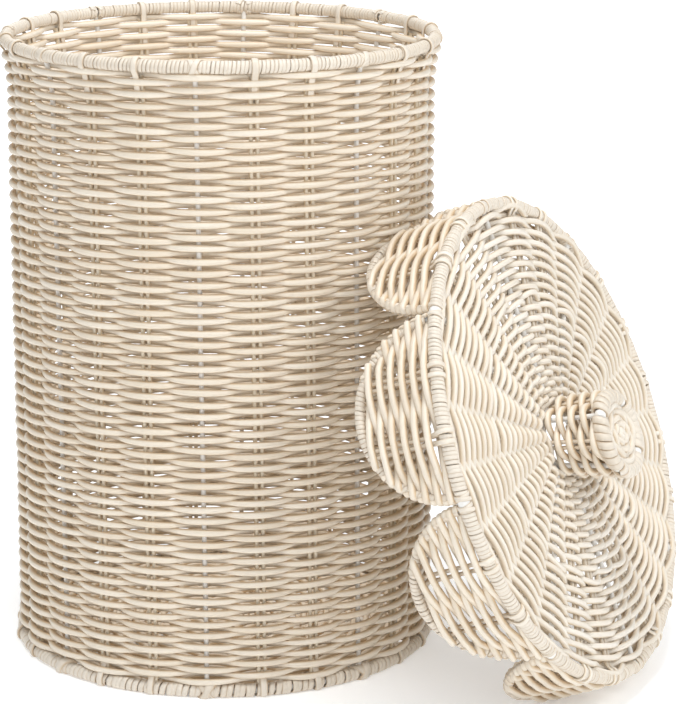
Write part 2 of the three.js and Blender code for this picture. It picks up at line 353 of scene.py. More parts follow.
def with_grain(tree, colour, grain):
    streak = mapped(tree, grain, GRAIN_FROM, GRAIN_TO, DARKEST_GRAIN, LIGHTEST_GRAIN)
    made = node(tree, "ShaderNodeVectorMath", operation="SCALE")
    tree.links.new(colour, made.inputs[0])
    tree.links.new(streak, made.inputs["Scale"])
    return made.outputs[0]


def with_painted_flank_shade(tree, colour, across, flank_shade):
    """Painted shade: darkens and warms a strand's flanks, where its neighbours touch it."""
    beside = node(tree, "ShaderNodeMath", operation="ABSOLUTE")
    tree.links.new(across, beside.inputs[0])
    flank_shade_mask = mapped(tree, beside.outputs[0], FLANK_SHADE_FROM, 1.0, 0.0, 1.0, "SMOOTHSTEP")
    made = node(tree, "ShaderNodeMix", data_type="RGBA", blend_type="MULTIPLY")
    tree.links.new(flank_shade_mask, made.inputs["Factor"])
    tree.links.new(colour, made.inputs[6])
    made.inputs[7].default_value = (*flank_shade, 1)
    return made.outputs[2]


def rattan_material(name, pale, deep, flank_shade):
    """Plastic rattan: each strand a little different, with fine grain lines along it, and painted shade on
    its flanks.
    """
    material, tree, surface = new_material(name, RATTAN_ROUGHNESS)
    lay = node(tree, "ShaderNodeAttribute", attribute_name="lay").outputs["Vector"]
    split = node(tree, "ShaderNodeSeparateXYZ")
    tree.links.new(lay, split.inputs[0])
    grain = noise(tree, stretched(tree, lay, GRAIN_STRETCH), Scale=2.6, Detail=3.0, Roughness=0.6)
    colour = with_grain(tree, strand_tint(tree, lay, split.outputs["Z"], pale, deep), grain)
    # painted shade: each strand's flanks darker and warmer where its neighbours touch it
    colour = with_painted_flank_shade(tree, colour, split.outputs["Y"], flank_shade)
    tree.links.new(colour, surface.inputs["Base Color"])
    raised(tree, surface, grain, 0.25, 0.3 * MM)
    return material


def steel_material():
    """White powder coat, with its faint orange-peel."""
    material, tree, surface = new_material("powder_coat", STEEL_ROUGHNESS)
    where = node(tree, "ShaderNodeTexCoord")
    peel = noise(tree, where.outputs["Object"], Scale=900.0, Detail=1.0)
    tone = ramp(tree, peel, (0.84, 0.82, 0.78), (0.91, 0.89, 0.86))
    tree.links.new(tone, surface.inputs["Base Color"])
    raised(tree, surface, peel, 0.15, 0.2 * MM)
    return material


# Each tint is pale, deep, and the painted shade on a strand's flanks, where its neighbours touch it.
WEAVE = rattan_material("rattan_strand", (0.85, 0.76, 0.635), (0.78, 0.665, 0.52), (0.86, 0.74, 0.58))
# The paired stakes get a paler copy of the strands' rattan: painted light, lifting them out of the shade
# between the rows.
LIT_STAKE = rattan_material("rattan_stake_lit", (0.93, 0.84, 0.69), (0.89, 0.79, 0.63), (0.95, 0.89, 0.79))
# The lid's disc, its stakes and the knob's face get a paler, less yellow copy of the strands' rattan: painted
# light, for the stronger light on the lid.
LIT_LID_WEAVE = rattan_material("rattan_lid_lit", (0.85, 0.78, 0.68), (0.79, 0.70, 0.58), (0.92, 0.85, 0.75))
WRAP = rattan_material("rattan_wrap", (0.79, 0.71, 0.605), (0.72, 0.63, 0.515), (0.82, 0.72, 0.60))
STEEL = steel_material()
WEAVE_SLOT, WRAP_SLOT, STEEL_SLOT = "rattan_weave", "rattan_binding", "powder_coated_steel"


# ---- Steel ----
ROD_SIDES = 12
SPOKE_POINTS = 12
UPRIGHT_POINTS = 60
CROSS_SHORT = 6 * MM             # how far the floor's rods end inside the foot ring's middle
STAKE_BEND = 40 * MM             # height over which a stake bends out to its ring


def steel_piece(name, body, route, out, radius, closed=False):
    rod = Strands()
    rod.add(route, out, (radius, radius), closed, sides=ROD_SIDES)
    rod.mesh(name, body, STEEL, STEEL_SLOT, [name])


def circle(radius, z, steps=144):
    angle = full_circle(steps)
    return polar(radius, angle, z), outward(angle)


def stake_radius(z):
    """Stakes run up the middle of the wall, and bend out to each ring at their ends."""
    up = np.clip((z - (RIM_HEIGHT - STAKE_BEND)) / STAKE_BEND, 0, 1) ** 2
    down = np.clip((STAKE_BEND - z) / STAKE_BEND, 0, 1) ** 2
    return WALL_RADIUS + (RIM_RADIUS - WALL_RADIUS) * up + (BASE_RADIUS - WALL_RADIUS) * down


def basket_steel():
    for name, radius, z in (("basket_top_ring", RIM_RADIUS, RIM_HEIGHT),
                            ("basket_base_ring", BASE_RADIUS, BASE_HEIGHT)):
        route, out = circle(radius, z)
        steel_piece(name, "basket", route, out, RING_WIRE, closed=True)
    for k in range(PETALS):
        low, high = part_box(f"basket_upright_{k + 1}")
        z = np.linspace(low.z, high.z, UPRIGHT_POINTS)
        angle = stake_phase(z) + k * STEP
        route = polar(stake_radius(z), angle, z)
        steel_piece(f"basket_upright_{k + 1}", "basket", route, outward(angle), ROD)
    cross = Strands()
    length = BASE_RADIUS - CROSS_SHORT
    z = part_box("base_cross_frame")[0].z + ROD
    for k in range(PETALS // 2):
        route = polar(np.array([-length, 0, length]), stake_phase(0) + k * STEP, z)
        cross.add(route, upward(3), (ROD, ROD), sides=ROD_SIDES)
    cross.mesh("base_cross_frame", "basket", STEEL, STEEL_SLOT, ["base_cross_frame"])


# ---- The basket's wall ----
WALL_BANDS = 5
FIRMNESS = 0.72
ROW_LEAN = 0.4 * MM              # how far a row wanders up and down
SWING_SPREAD = 0.05              # how unevenly it swings, and how unevenly thick it is
SIZE_SPREAD = 0.04
ROWS_BELOW = 1.2 * MM            # how far the lowest row reaches under the CAD's weave
ROWS_INTO_RIM = 0.4 * MM         # how far the highest row reaches into the rim's wrap
PAIRS_ABOVE_BASE = 4 * MM
PAIRS_BELOW_RIM = 8 * MM
PAIR_RIPPLE = 0.2 * MM
PAIR_POINTS = 70


def firm(beat):
    """Keeps a strand in front of its stake for longer, and lets it cross over sooner."""
    return np.sign(beat) * np.abs(beat) ** FIRMNESS


def wall_row(strands, row, z):
    """One round of strand, in front of one stake and behind the next."""
    count = STAKES * SAMPLES
    angle = full_circle(count)
    height = z + wander(count, 7) * ROW_LEAN
    beat = firm(np.cos((STAKES / 2) * (angle - stake_phase(z)) + math.pi * row))
    radius = stake_radius(height) + WALL_SWING * beat * (1 + SWING_SPREAD * wander(count, 3))
    size = STRAND * (1 + SIZE_SPREAD * wander(count, 4))
    tall = size * (CROSSING + (1 - CROSSING) * np.abs(beat))
    strands.add(polar(radius, angle, height), outward(angle), (size, tall), closed=True)


def basket_wall():
    lowest = WALL_BOTTOM + STRAND - ROWS_BELOW
    highest = RIM_HEIGHT - RIM_WRAP - STRAND + ROWS_INTO_RIM
    rows = int((highest - lowest) / ROW_PITCH) + 1
    bands = [Strands() for _ in range(WALL_BANDS)]
    for row in range(rows):
        z = lowest + row * (highest - lowest) / (rows - 1)
        wall_row(bands[row * WALL_BANDS // rows], row, z)
    for k, band in enumerate(bands):
        band.mesh(f"wall_weave_{k + 1}", "basket", WEAVE, WEAVE_SLOT, ["side_weave"])


def basket_stakes():
    pairs = Strands()
    z = np.linspace(BASE_HEIGHT + PAIRS_ABOVE_BASE, RIM_HEIGHT - PAIRS_BELOW_RIM, PAIR_POINTS)
    for stake in filter(is_pair, range(STAKES)):
        angle = stake_phase(z) + stake * 2 * math.pi / STAKES
        for side in (-1, 1):
            shift = side * PAIR_APART / WALL_RADIUS
            ripple = PAIR_RIPPLE * np.sin(z / ROW_PITCH * math.pi + side)
            route = polar(stake_radius(z) + ripple, angle + shift, z)
            pairs.add(route, outward(angle), (PAIR, PAIR))
    # the stakes' paler rattan is painted light
    pairs.mesh("wall_stakes", "basket", LIT_STAKE, WEAVE_SLOT)


# ---- Wraps ----
TURN_POINTS = 14                 # points along a strip for each turn round its ring
BUMPS_A_TURN = 1.3
BUMP = 0.16 * MM
FLAT, SOFT_FLAT, SOFT_OVAL = 0.55, 0.7, 0.8    # a strip's roundness
CROSS_POINTS = 22
CROSS_SWEEP = 0.8 * math.pi      # how far round the ring a crossing strip goes each way
CROSS_LIFT = 0.3                 # in half thicknesses: one strip lies a little over the other

# A strip's size is half its thickness and half its width; a TURN is how far one turn takes it along its ring.
RIM_STRIP, RIM_TURN = (0.6 * MM, 1.62 * MM), 3.2 * MM
RIM_GAP = 0.7 * MM
RIM_CROSS, RIM_SPREAD = (0.7 * MM, 2.5 * MM), 5 * MM
FOOT_STRIP, FOOT_TURN = (0.9 * MM, 2.5 * MM), 4.8 * MM
FOOT_GAP = 3 * MM
FOOT_WRAP = RIM_WRAP + 0.3 * MM
FOOT_UNEVEN = 0.35
FOOT_CROSS, FOOT_SPREADS = (2.2 * MM, 2.9 * MM), (9 * MM, 4 * MM)
FOOT_KNOT = RIM_WRAP - 0.1 * MM


def wrap_route(ring, start, end, length, pitch, size, uneven):
    """The route of a strip wound round a ring.

    ring(t) gives the ring's middle at t, and two directions across it.
    """
    turns = max(int(round(length / pitch)), 1)
    t = np.linspace(0, 1, turns * TURN_POINTS)
    around = 2 * math.pi * turns * t + random.uniform(0, 6)
    drift = random.uniform(-uneven, uneven, turns + 1)
    drift[0] = drift[-1] = 0
    place = start + (end - start) * (t + np.interp(t * turns, np.arange(turns + 1), drift) / turns)
    centre, first, second = ring(place)
    out = np.cos(around)[:, None] * first + np.sin(around)[:, None] * second
    bumps = int(turns * BUMPS_A_TURN) + 2
    swell = np.interp(t * turns * BUMPS_A_TURN, np.arange(bumps), random.normal(size=bumps))
    return centre + (size + BUMP * swell)[:, None] * out, out


def level_ring(radius, z):
    def ring(angle):
        return polar(radius, angle, z), outward(angle), upward(len(angle))
    return ring


def as_is(route, out):
    return route, out


def wound(strands, ring, start, end, length, size, strip, pitch, place=as_is, uneven=0.12):
    """Winds a flat strip round a ring, to the outer radius size."""
    route, out = place(*wrap_route(ring, start, end, length, pitch, size - strip[0], uneven))
    strands.add(route, out, strip, roundness=FLAT)


def crossed(strands, ring, angle, radius, size, strip, spread, place=as_is):
    """Two strips that cross on the outside of a ring, where a steel rod meets it."""
    for lean in (-1, 1):
        t = np.linspace(-1, 1, CROSS_POINTS)
        around = t * CROSS_SWEEP
        centre, first, second = ring(angle + lean * t * spread / radius)
        out = np.cos(around)[:, None] * first + np.sin(around)[:, None] * second
        route, out = place(centre + (size + lean * CROSS_LIFT * strip[0]) * out, out)
        strands.add(route, out, strip, roundness=SOFT_FLAT)


def rest_on_floor(piece):
    """Flattens what would reach under the floor."""
    for vertex in piece.data.vertices:
        vertex.co.z = max(vertex.co.z, 0.0)


def basket_wraps():
    rim = Strands()
    ring = level_ring(RIM_RADIUS, RIM_HEIGHT)
    gap = RIM_GAP / RIM_RADIUS
    for k in range(PETALS):
        start, end = FIRST_UPRIGHT + k * STEP + gap, FIRST_UPRIGHT + (k + 1) * STEP - gap
        wound(rim, ring, start, end, (end - start) * RIM_RADIUS, RIM_WRAP, RIM_STRIP, RIM_TURN)
        crossed(rim, ring, FIRST_UPRIGHT + k * STEP, RIM_RADIUS, RIM_WRAP, RIM_CROSS, RIM_SPREAD)
    rim.mesh("rim_wrap", "basket", WRAP, WRAP_SLOT, ["rim_binding"])
    foot = Strands()
    ring = level_ring(BASE_RADIUS, BASE_HEIGHT)
    gap = FOOT_GAP / BASE_RADIUS
    for k in range(PETALS):
        at = stake_phase(0) + k * STEP
        wound(foot, ring, at + gap, at + STEP - gap, (STEP - 2 * gap) * BASE_RADIUS, FOOT_WRAP,
              FOOT_STRIP, FOOT_TURN, uneven=FOOT_UNEVEN)
        for spread in FOOT_SPREADS:
            crossed(foot, ring, at, BASE_RADIUS, FOOT_KNOT, FOOT_CROSS, spread)
    rest_on_floor(foot.mesh("foot_wrap", "basket", WRAP, WRAP_SLOT, ["base_binding"]))


# Bends, as mm out from a ring's middle and mm up. A pair's strap goes over the rim from inside the wall.
RIM_STRAP = [(-8.7, -29), (-7.6, -18), (-5.8, -8), (-6.1, -3), (-5.6, 1.5), (-3.7, 4.7), (0, 6.0),
             (3.7, 4.7), (5.8, 1.2), (5.5, -3), (1.8, -7.5), (-0.4, -14), (-2.6, -24)]
# At the foot the strap ends under the ring.
FOOT_STRAP = [(-1.5, 13), (1.5, 9), (5.0, 5), (6.4, 0.5), (4.8, -3.4), (0, -4.0), (-4.5, -3.0)]
STRAP_WIDTHS = (2.6, 3.1)        # half the width of the narrowest and the widest, in mm
RIM_STRAP_THICK = 0.9 * MM       # half its thickness, as for the next
FOOT_STRAP_THICK = 1.2 * MM


def bend_out(bend, angle):
    """The directions away from a bend that stands upright at that angle."""
    rise, run = np.gradient(bend[:, 1]), np.gradient(bend[:, 0])
    out = outward(np.full(len(bend), angle)) * -rise[:, None]
    out[:, 2] = run
    return out


def strap(strands, outline, angle, radius, height, strip):
    bend = smooth(np.array(outline) * MM)
    route = polar(radius + bend[:, 0], angle, height + bend[:, 1])
    strands.add(route, bend_out(bend, angle), strip, sides=10, roundness=SOFT_OVAL)


def pair_straps():
    straps = Strands()
    for stake in filter(is_pair, range(STAKES)):
        at = FIRST_UPRIGHT + stake * 2 * math.pi / STAKES
        wide = random.uniform(*STRAP_WIDTHS) * MM
        strap(straps, RIM_STRAP, at, RIM_RADIUS, RIM_HEIGHT, (RIM_STRAP_THICK, wide))
        strap(straps, FOOT_STRAP, at + UPRIGHT_TWIST, BASE_RADIUS, BASE_HEIGHT, (FOOT_STRAP_THICK, wide))
    rest_on_floor(straps.mesh("pair_straps", "basket", WRAP, WRAP_SLOT))


# ---- Flat woven rounds: the basket's floor and the lid's disc ----
EDGE_BULGE = 4 * MM              # how far the outermost row bulges out at each stake
BULGE_ROWS = 2.5                 # how many rows in from the edge the bulge begins
DISC_WANDER = 0.3 * MM
DISC_POINTS = 30
FLOOR_MIDDLE = 4 * MM
FLOOR_EDGE = WALL_RADIUS - 8 * MM
FLOOR_PITCH = 4.75 * MM
FLOOR_STRAND = 2.5 * MM
FLOOR_SWING = 3.2 * MM
FLOOR_PAIRS_FROM = 58 * MM
FLOOR_PAIRS_TO = WALL_RADIUS - 3 * MM
FLOOR_ALL_FROM = 60 * MM         # outside this circle the rows pass the pairs too


def disc_rows(strands, inner, outer, pitch, strand, swing, phase, place, pairs_from):
    rows = int((outer - inner) / pitch) + 1
    count = STAKES * SAMPLES
    angle = full_circle(count)
    for row, radius in enumerate(np.linspace(inner, outer, rows)):
        stakes = STAKES if radius > pairs_from else PETALS
        uneven = wander(count) * DISC_WANDER
        beat = np.cos((stakes / 2) * (angle - phase) + math.pi * row)
        proud = EDGE_BULGE * np.abs(beat) * max(0.0, 1 - (outer - radius) / (BULGE_ROWS * pitch))
        route, out = place(polar(radius + uneven + proud, angle, swing * beat), upward(count))
        strands.add(route, out, (strand, strand), closed=True)


def disc_pairs(strands, inner, outer, phase, place):
    r = np.linspace(inner, outer, DISC_POINTS)
    for stake in filter(is_pair, range(STAKES)):
        angle = phase + stake * 2 * math.pi / STAKES
        for side in (-1, 1):
            route, out = place(polar(r, angle + side * PAIR_APART / r, 0.0), upward(DISC_POINTS))
            strands.add(route, out, (PAIR, PAIR))


def basket_floor():
    weave = Strands()
    phase = stake_phase(0)
    disc_rows(weave, FLOOR_MIDDLE, FLOOR_EDGE, FLOOR_PITCH, FLOOR_STRAND, FLOOR_SWING, phase, on_floor,
              FLOOR_ALL_FROM)
    disc_pairs(weave, FLOOR_PAIRS_FROM, FLOOR_PAIRS_TO, phase, on_floor)
    rest_on_floor(weave.mesh("floor_weave", "basket", WEAVE, WEAVE_SLOT, ["base_weave"]))


# ---- Lid ----
LID_STRAND = 2.55 * MM
LID_PITCH = 4.3 * MM
LID_SWING = ROD + LID_STRAND - 0.2 * MM
LID_MIDDLE = KNOB_FOOT + ROD + LID_STRAND
LID_HALFWAY = 120 * MM           # where the disc's inner band ends and its outer begins
LID_EDGE = LID_RADIUS - 6 * MM
LID_PAIRS_TO = LID_RADIUS - 9 * MM
LID_WRAP = 5.4 * MM
LID_STRIP, LID_TURN_PITCH = (0.5 * MM, 1.7 * MM), 3.3 * MM
LID_CROSS, LID_SPREAD = (0.8 * MM, 1.8 * MM), 3 * MM
BEAD_REACH = 4.6 * MM / LID_RADIUS
BEAD_SIZE = 5.1 * MM
BEAD_SHAPE = (13, 6, 0.12)
CROSS_AT = 0.9                   # where the strips cross each side of a bead, in bead reaches
OVER_SPREAD = 1.6 * MM           # how far each strand of a pair moves aside on the ring
OVER_SIZE = (0.9 * MM, PAIR + 0.3 * MM)
# A stake strand's bend over the lid's ring: mm out from the ring's middle, and mm along the lid's axis.
RING_BEND = [(-11, -0.5), (-7.2, 1.6), (-4.8, 4.1), (0, 6.0), (4.5, 4.2), (6.2, 0.4), (5.2, -3.6),
             (2.0, -8.0), (0.4, -14)]


def lid_steel():
    route, out = circle(LID_RADIUS, 0)
    steel_piece("lid_ring", "lid", *on_lid(route, out), RING_WIRE, closed=True)
    reach = np.linspace(KNOB_FOOT + ROD, LID_RADIUS - ROD, SPOKE_POINTS)
    for k in range(PETALS):
        route = polar(reach, k * STEP, 0.0)
        steel_piece(f"lid_spoke_{k + 1}", "lid", *on_lid(route, upward(SPOKE_POINTS)), ROD)


def lid_disc():
    inner, outer = Strands(), Strands()
    disc_rows(inner, LID_MIDDLE, LID_HALFWAY - LID_PITCH, LID_PITCH, LID_STRAND, LID_SWING, 0.0, on_lid,
              LID_MIDDLE + 1 * MM)
    disc_rows(outer, LID_HALFWAY, LID_EDGE, LID_PITCH, LID_STRAND, LID_SWING, 0.0, on_lid, LID_MIDDLE)
    # the lid's paler rattan is painted light
    inner.mesh("lid_weave_inner", "lid", LIT_LID_WEAVE, WEAVE_SLOT, ["lid_top_weave"])
    outer.mesh("lid_weave_outer", "lid", LIT_LID_WEAVE, WEAVE_SLOT, ["lid_top_weave"])
    pairs = Strands()
    disc_pairs(pairs, LID_MIDDLE, LID_PAIRS_TO, 0.0, on_lid)
    for stake in filter(is_pair, range(STAKES)):
        for side in (-1, 1):
            over_ring(pairs, stake * 2 * math.pi / STAKES, side)
    pairs.mesh("lid_stakes", "lid", LIT_LID_WEAVE, WEAVE_SLOT)


def over_ring(strands, angle, side):
    """A strand of a pair leaves its partner to go over the ring, and meets it again in the petal."""
    bend = smooth(np.array(RING_BEND) * MM)
    t = np.linspace(-1, 1, len(bend))
    apart = side * (PAIR_APART + OVER_SPREAD * (1 - t ** 2)) / LID_RADIUS
    route = polar(LID_RADIUS + bend[:, 0], angle + apart, bend[:, 1])
    strands.add(*on_lid(route, bend_out(bend, angle)), OVER_SIZE, roundness=SOFT_OVAL)


def bead(strands, ring, angle, reach, size, shape, place):
    """A short white lump round a ring: shape is its points, its squareness, and its ends' share."""
    points, squareness, share = shape
    t = np.linspace(-1, 1, points)
    thick = size * np.sqrt(np.clip(1 - t ** squareness, share, 1))
    centre, out, _ = ring(angle + t * reach)
    strands.add(*place(centre, out), (thick, thick), sides=14)


def lid_wrap():
    wrap = Strands()
    ring = level_ring(LID_RADIUS, 0)
    for k in range(PETALS):
        start, end = k * STEP + BEAD_REACH, (k + 1) * STEP - BEAD_REACH
        wound(wrap, ring, start, end, (end - start) * LID_RADIUS, LID_WRAP, LID_STRIP, LID_TURN_PITCH, on_lid)
        for side in (-1, 1):
            at = k * STEP + side * CROSS_AT * BEAD_REACH
            crossed(wrap, ring, at, LID_RADIUS, LID_WRAP, LID_CROSS, LID_SPREAD, on_lid)
    wrap.mesh("lid_ring_wrap", "lid", WRAP, WRAP_SLOT, ["lid_rim_binding"])
    joints = Strands()
    for k in range(PETALS):
        bead(joints, ring, k * STEP, BEAD_REACH, BEAD_SIZE, BEAD_SHAPE, on_lid)
    joints.mesh("lid_joints", "lid", STEEL, STEEL_SLOT)


# ---- Petals ----
PETAL_DEPTH = 69 * MM
PETAL_START = 6.2 * MM
PETAL_FLARE = math.radians(1)
PETAL_CURVE = 1.1                # 1 for half an ellipse, more for a slimmer petal
PETAL_EDGE = 4.5 * MM
PETAL_WIRE = 1.6 * MM
PETAL_SPAN = math.pi / PETALS - (PETAL_EDGE + 0.4 * MM) / LID_RADIUS
PETAL_ARC = PETAL_SPAN * LID_RADIUS
PETAL_STRIP, PETAL_TURN = (0.5 * MM, 1.8 * MM), 3.5 * MM
PETAL_PITCH = 4.85 * MM
EDGE_POINTS = 60
ROW_POINTS = 34
CURL_POINTS = 7                  # points of a strand's curl round each edge
EASE_POINTS = 6                  # the points over which it comes up to the curl, at either end
CURL_THICK = 1.2 * MM
CURL_RADIUS = PETAL_EDGE - 0.7 * MM
NEARLY_CURLED = 0.95             # how far a strand has come out, in curl radii, just before it curls
ROW_TALL = STRAND * 0.95
TAPER = 8 * MM                   # how far from the edge a strand's swing begins to shrink
SWING_LEFT = 0.35                # the share of its swing that stays at the edge
ROW_WANDER = 0.2 * MM
PETAL_PAIR_POINTS = 20
PETAL_WRAP = PETAL_EDGE - 0.6 * MM
WRAP_FROM, WRAP_TO = 0.01, 0.99  # the part of the edge that is wrapped
PETAL_PAIR_FROM = 3 * MM
PETAL_PAIR_TO = PETAL_DEPTH * 0.86
ROW_ROOM = 0.8 * STRAND          # from the wraps to the first and last strand's middle


def petal_point(k, side, depth, out):
    """side is -1 to 1 between two spokes, depth runs down from the ring, out is away from the axis."""
    angle = (k + 0.5) * STEP + side * PETAL_SPAN
    radius = LID_RADIUS + depth * math.sin(PETAL_FLARE) + out * math.cos(PETAL_FLARE)
    z = -depth * math.cos(PETAL_FLARE) + out * math.sin(PETAL_FLARE)
    return polar(radius, angle, z)


def petal_out(k, side):
    angle = (k + 0.5) * STEP + side * PETAL_SPAN
    return outward(np.asarray(angle, float))


def edge_depth(t):
    return PETAL_START + (PETAL_DEPTH - PETAL_START) * np.sin(np.pi * t) ** PETAL_CURVE


def edge_route(k, t):
    """The petal's scalloped edge, with the directions away from the petal and away from the axis."""
    side = -np.cos(np.pi * t)
    centre = petal_point(k, side, edge_depth(np.clip(t, 0, 1)), 0.0)
    along = unit(np.gradient(centre, axis=0))
    out = petal_out(k, side)
    away = unit(np.cross(along, out))
    return centre, away, np.cross(away, along)


def half_side(depth):
    """How far, from 0 to 1, the petal reaches to each side at that depth."""
    share = np.clip((depth - PETAL_START) / (PETAL_DEPTH - PETAL_START), 0, 1) ** (1 / PETAL_CURVE)
    return np.sqrt(1 - share ** 2)


def petal_row(strands, k, row, depth):
    """A strand across the petal, over one paired stake and under the next, curled round both edges."""
    reach = half_side(depth)
    sign = 1 if row % 2 else -1
    side = np.linspace(-reach, reach, ROW_POINTS)
    beat = np.sin(side * PETAL_SPAN * STAKES / 2)
    taper = np.clip((reach - np.abs(side)) * PETAL_ARC / TAPER, 0, 1)
    swing = sign * (PAIR + STRAND) * beat * (SWING_LEFT + (1 - SWING_LEFT) * taper)
    out = swing + ROW_WANDER * wander(ROW_POINTS, 3)
    sides, lifts = curled(side, out)
    route, normal = on_lid(petal_point(k, sides, depth, lifts), petal_out(k, sides))
    thick = np.full(len(sides), STRAND)
    thick[:CURL_POINTS - 1] = thick[1 - CURL_POINTS:] = CURL_THICK
    strands.add(route, normal, (thick, ROW_TALL))


def curled(side, out):
    """Adds the curl round the petal's edge wire to both ends of a strand."""
    curl = np.linspace(0, math.pi, CURL_POINTS + 1)[1:]
    left = math.copysign(1, out[0]) * CURL_RADIUS
    right = math.copysign(1, out[-1]) * CURL_RADIUS
    sweep = CURL_RADIUS * np.sin(curl) / PETAL_ARC
    sides = np.concatenate([side[0] - sweep[::-1], side, side[-1] + sweep])
    lifts = np.concatenate([(left * np.cos(curl))[::-1], out, right * np.cos(curl)])
    inner = CURL_POINTS + EASE_POINTS
    lifts[CURL_POINTS:inner] = np.linspace(left * NEARLY_CURLED, lifts[inner], EASE_POINTS)
    lifts[-inner:-CURL_POINTS] = np.linspace(lifts[-inner - 1], right * NEARLY_CURLED, EASE_POINTS)
    return sides, lifts


def petal_edge(k):
    t = np.linspace(0, 1, EDGE_POINTS)
    centre, away, out = edge_route(k, t)
    steel_piece(f"petal_frame_{k + 1}", "lid", *on_lid(centre, out), PETAL_WIRE)
    wrap = Strands()
    arc_length = float(np.linalg.norm(np.diff(centre, axis=0), axis=1).sum())
    wound(wrap, lambda t: edge_route(k, t), WRAP_FROM, WRAP_TO, arc_length, PETAL_WRAP,
          PETAL_STRIP, PETAL_TURN, on_lid)
    rest_on_floor(wrap.mesh(f"petal_wrap_{k + 1}", "lid", WRAP, WRAP_SLOT, [f"petal_binding_{k + 1}"]))


def petal_panel(k):
    weave = Strands()
    first = LID_WRAP + ROW_ROOM
    last = PETAL_DEPTH - PETAL_EDGE - ROW_ROOM
    for row, depth in enumerate(np.arange(first, last, PETAL_PITCH)):
        petal_row(weave, k, row, depth)
    depth = np.linspace(PETAL_PAIR_FROM, PETAL_PAIR_TO, PETAL_PAIR_POINTS)
    for stake in (-1, 1):
        side = stake * math.pi / STAKES / PETAL_SPAN
        out = np.tile(petal_out(k, side), (PETAL_PAIR_POINTS, 1))
        for part in (-1, 1):
            shift = part * PAIR_APART / LID_RADIUS / PETAL_SPAN
            weave.add(*on_lid(petal_point(k, side + shift, depth, 0.0), out), (PAIR, PAIR))
    rest_on_floor(weave.mesh(f"petal_strands_{k + 1}", "lid", WEAVE, WEAVE_SLOT, [f"petal_weave_{k + 1}"]))


# ---- Knob ----
KNOB_STAKES = 8
KNOB_ROWS = 8
KNOB_FIRST_ROW = 6.5 * MM
KNOB_LAST_ROW = KNOB_HEIGHT - 7.4 * MM
KNOB_STRAND = 2.95 * MM
KNOB_COUNT = KNOB_STAKES * 12
KNOB_RING_STEPS = 72
KNOB_WRAP = 6.6 * MM
KNOB_STRIP, KNOB_TURN = (1.3 * MM, 3.3 * MM), 6.3 * MM
KNOB_GAP = 3 * MM / KNOB_END
KNOB_BEAD_SIZE = 4.6 * MM
KNOB_BEAD_SHAPE = (11, 4, 0.1)
KNOB_BEAD_REACH = 1.3            # in gaps of the wrap
POSTS = 4
POST_STEP = 2 * math.pi / POSTS
FIRST_POST = math.pi / 4
POST_POINTS = 12
KNOB_PAIR_POINTS = 14
KNOB_PAIR_SHIFT = 3 * MM         # the pairs begin this far inside the disc, and end this short of the ring
KNOB_WANDER = 0.3 * MM
FACE_ROWS = 5
FACE_MIDDLE = 2.6 * MM
FACE_EDGE = KNOB_END - 7.2 * MM
FACE_REACH = KNOB_END - 5 * MM
FACE_SWING = 1.3 * MM
FACE_RISE = KNOB_HEIGHT + 1 * MM
FACE_STAKE = (1.5 * MM, 2.4 * MM)


def knob_stake_radius(z):
    return KNOB_FOOT + (KNOB_END - KNOB_FOOT) * z / KNOB_HEIGHT


def knob_frame():
    route, out = circle(KNOB_FOOT, 0, KNOB_RING_STEPS)
    steel_piece("knob_base_ring", "lid", *on_knob(route, out), ROD, closed=True)
    route, out = circle(KNOB_END, KNOB_HEIGHT, KNOB_RING_STEPS)
    steel_piece("knob_end_ring", "lid", *on_knob(route, out), RING_WIRE, closed=True)
    z = np.linspace(ROD, KNOB_HEIGHT - RING_WIRE, POST_POINTS)
    for k in range(POSTS):
        angle = np.full(POST_POINTS, FIRST_POST + k * POST_STEP)
        route = polar(knob_stake_radius(z), angle, z)
        steel_piece(f"knob_post_{k + 1}", "lid", *on_knob(route, outward(angle)), ROD)


def knob_sleeve():
    sleeve = Strands()
    angle = full_circle(KNOB_COUNT)
    for row, z in enumerate(np.linspace(KNOB_FIRST_ROW, KNOB_LAST_ROW, KNOB_ROWS)):
        beat = np.cos(KNOB_STAKES / 2 * (angle - FIRST_POST) + math.pi * row)
        radius = knob_stake_radius(z) + (ROD + KNOB_STRAND) * beat
        height = z + KNOB_WANDER * wander(KNOB_COUNT, 3)
        size = (KNOB_STRAND, KNOB_STRAND * (CROSSING + (1 - CROSSING) * np.abs(beat)))
        sleeve.add(*on_knob(polar(radius, angle, height), outward(angle)), size, closed=True)
    z = np.linspace(-KNOB_PAIR_SHIFT, KNOB_HEIGHT - KNOB_PAIR_SHIFT, KNOB_PAIR_POINTS)
    for k in range(POSTS):
        for side in (-1, 1):
            at = np.full(KNOB_PAIR_POINTS, k * POST_STEP + side * PAIR_APART / KNOB_END)
            sleeve.add(*on_knob(polar(knob_stake_radius(z), at, z), outward(at)), (PAIR, PAIR))
    # The sleeve keeps the darker wall rattan rather than the lid's lit copy: painted shade under the knob's
    # end.
    sleeve.mesh("knob_sleeve", "lid", WEAVE, WEAVE_SLOT, ["knob_side_weave"])


def knob_end():
    wrap = Strands()
    ring = level_ring(KNOB_END, KNOB_HEIGHT)
    for k in range(POSTS):
        start, end = FIRST_POST + k * POST_STEP + KNOB_GAP, FIRST_POST + (k + 1) * POST_STEP - KNOB_GAP
        wound(wrap, ring, start, end, (end - start) * KNOB_END, KNOB_WRAP, KNOB_STRIP, KNOB_TURN, on_knob)
    wrap.mesh("knob_wrap", "lid", WRAP, WRAP_SLOT, ["knob_rim_binding"])
    beads = Strands()
    for k in range(POSTS):
        bead(beads, ring, FIRST_POST + k * POST_STEP, KNOB_BEAD_REACH * KNOB_GAP, KNOB_BEAD_SIZE,
             KNOB_BEAD_SHAPE, on_knob)
    beads.mesh("knob_joints", "lid", STEEL, STEEL_SLOT)


def on_face(route, out):
    return on_knob(route + [0, 0, FACE_RISE], out)


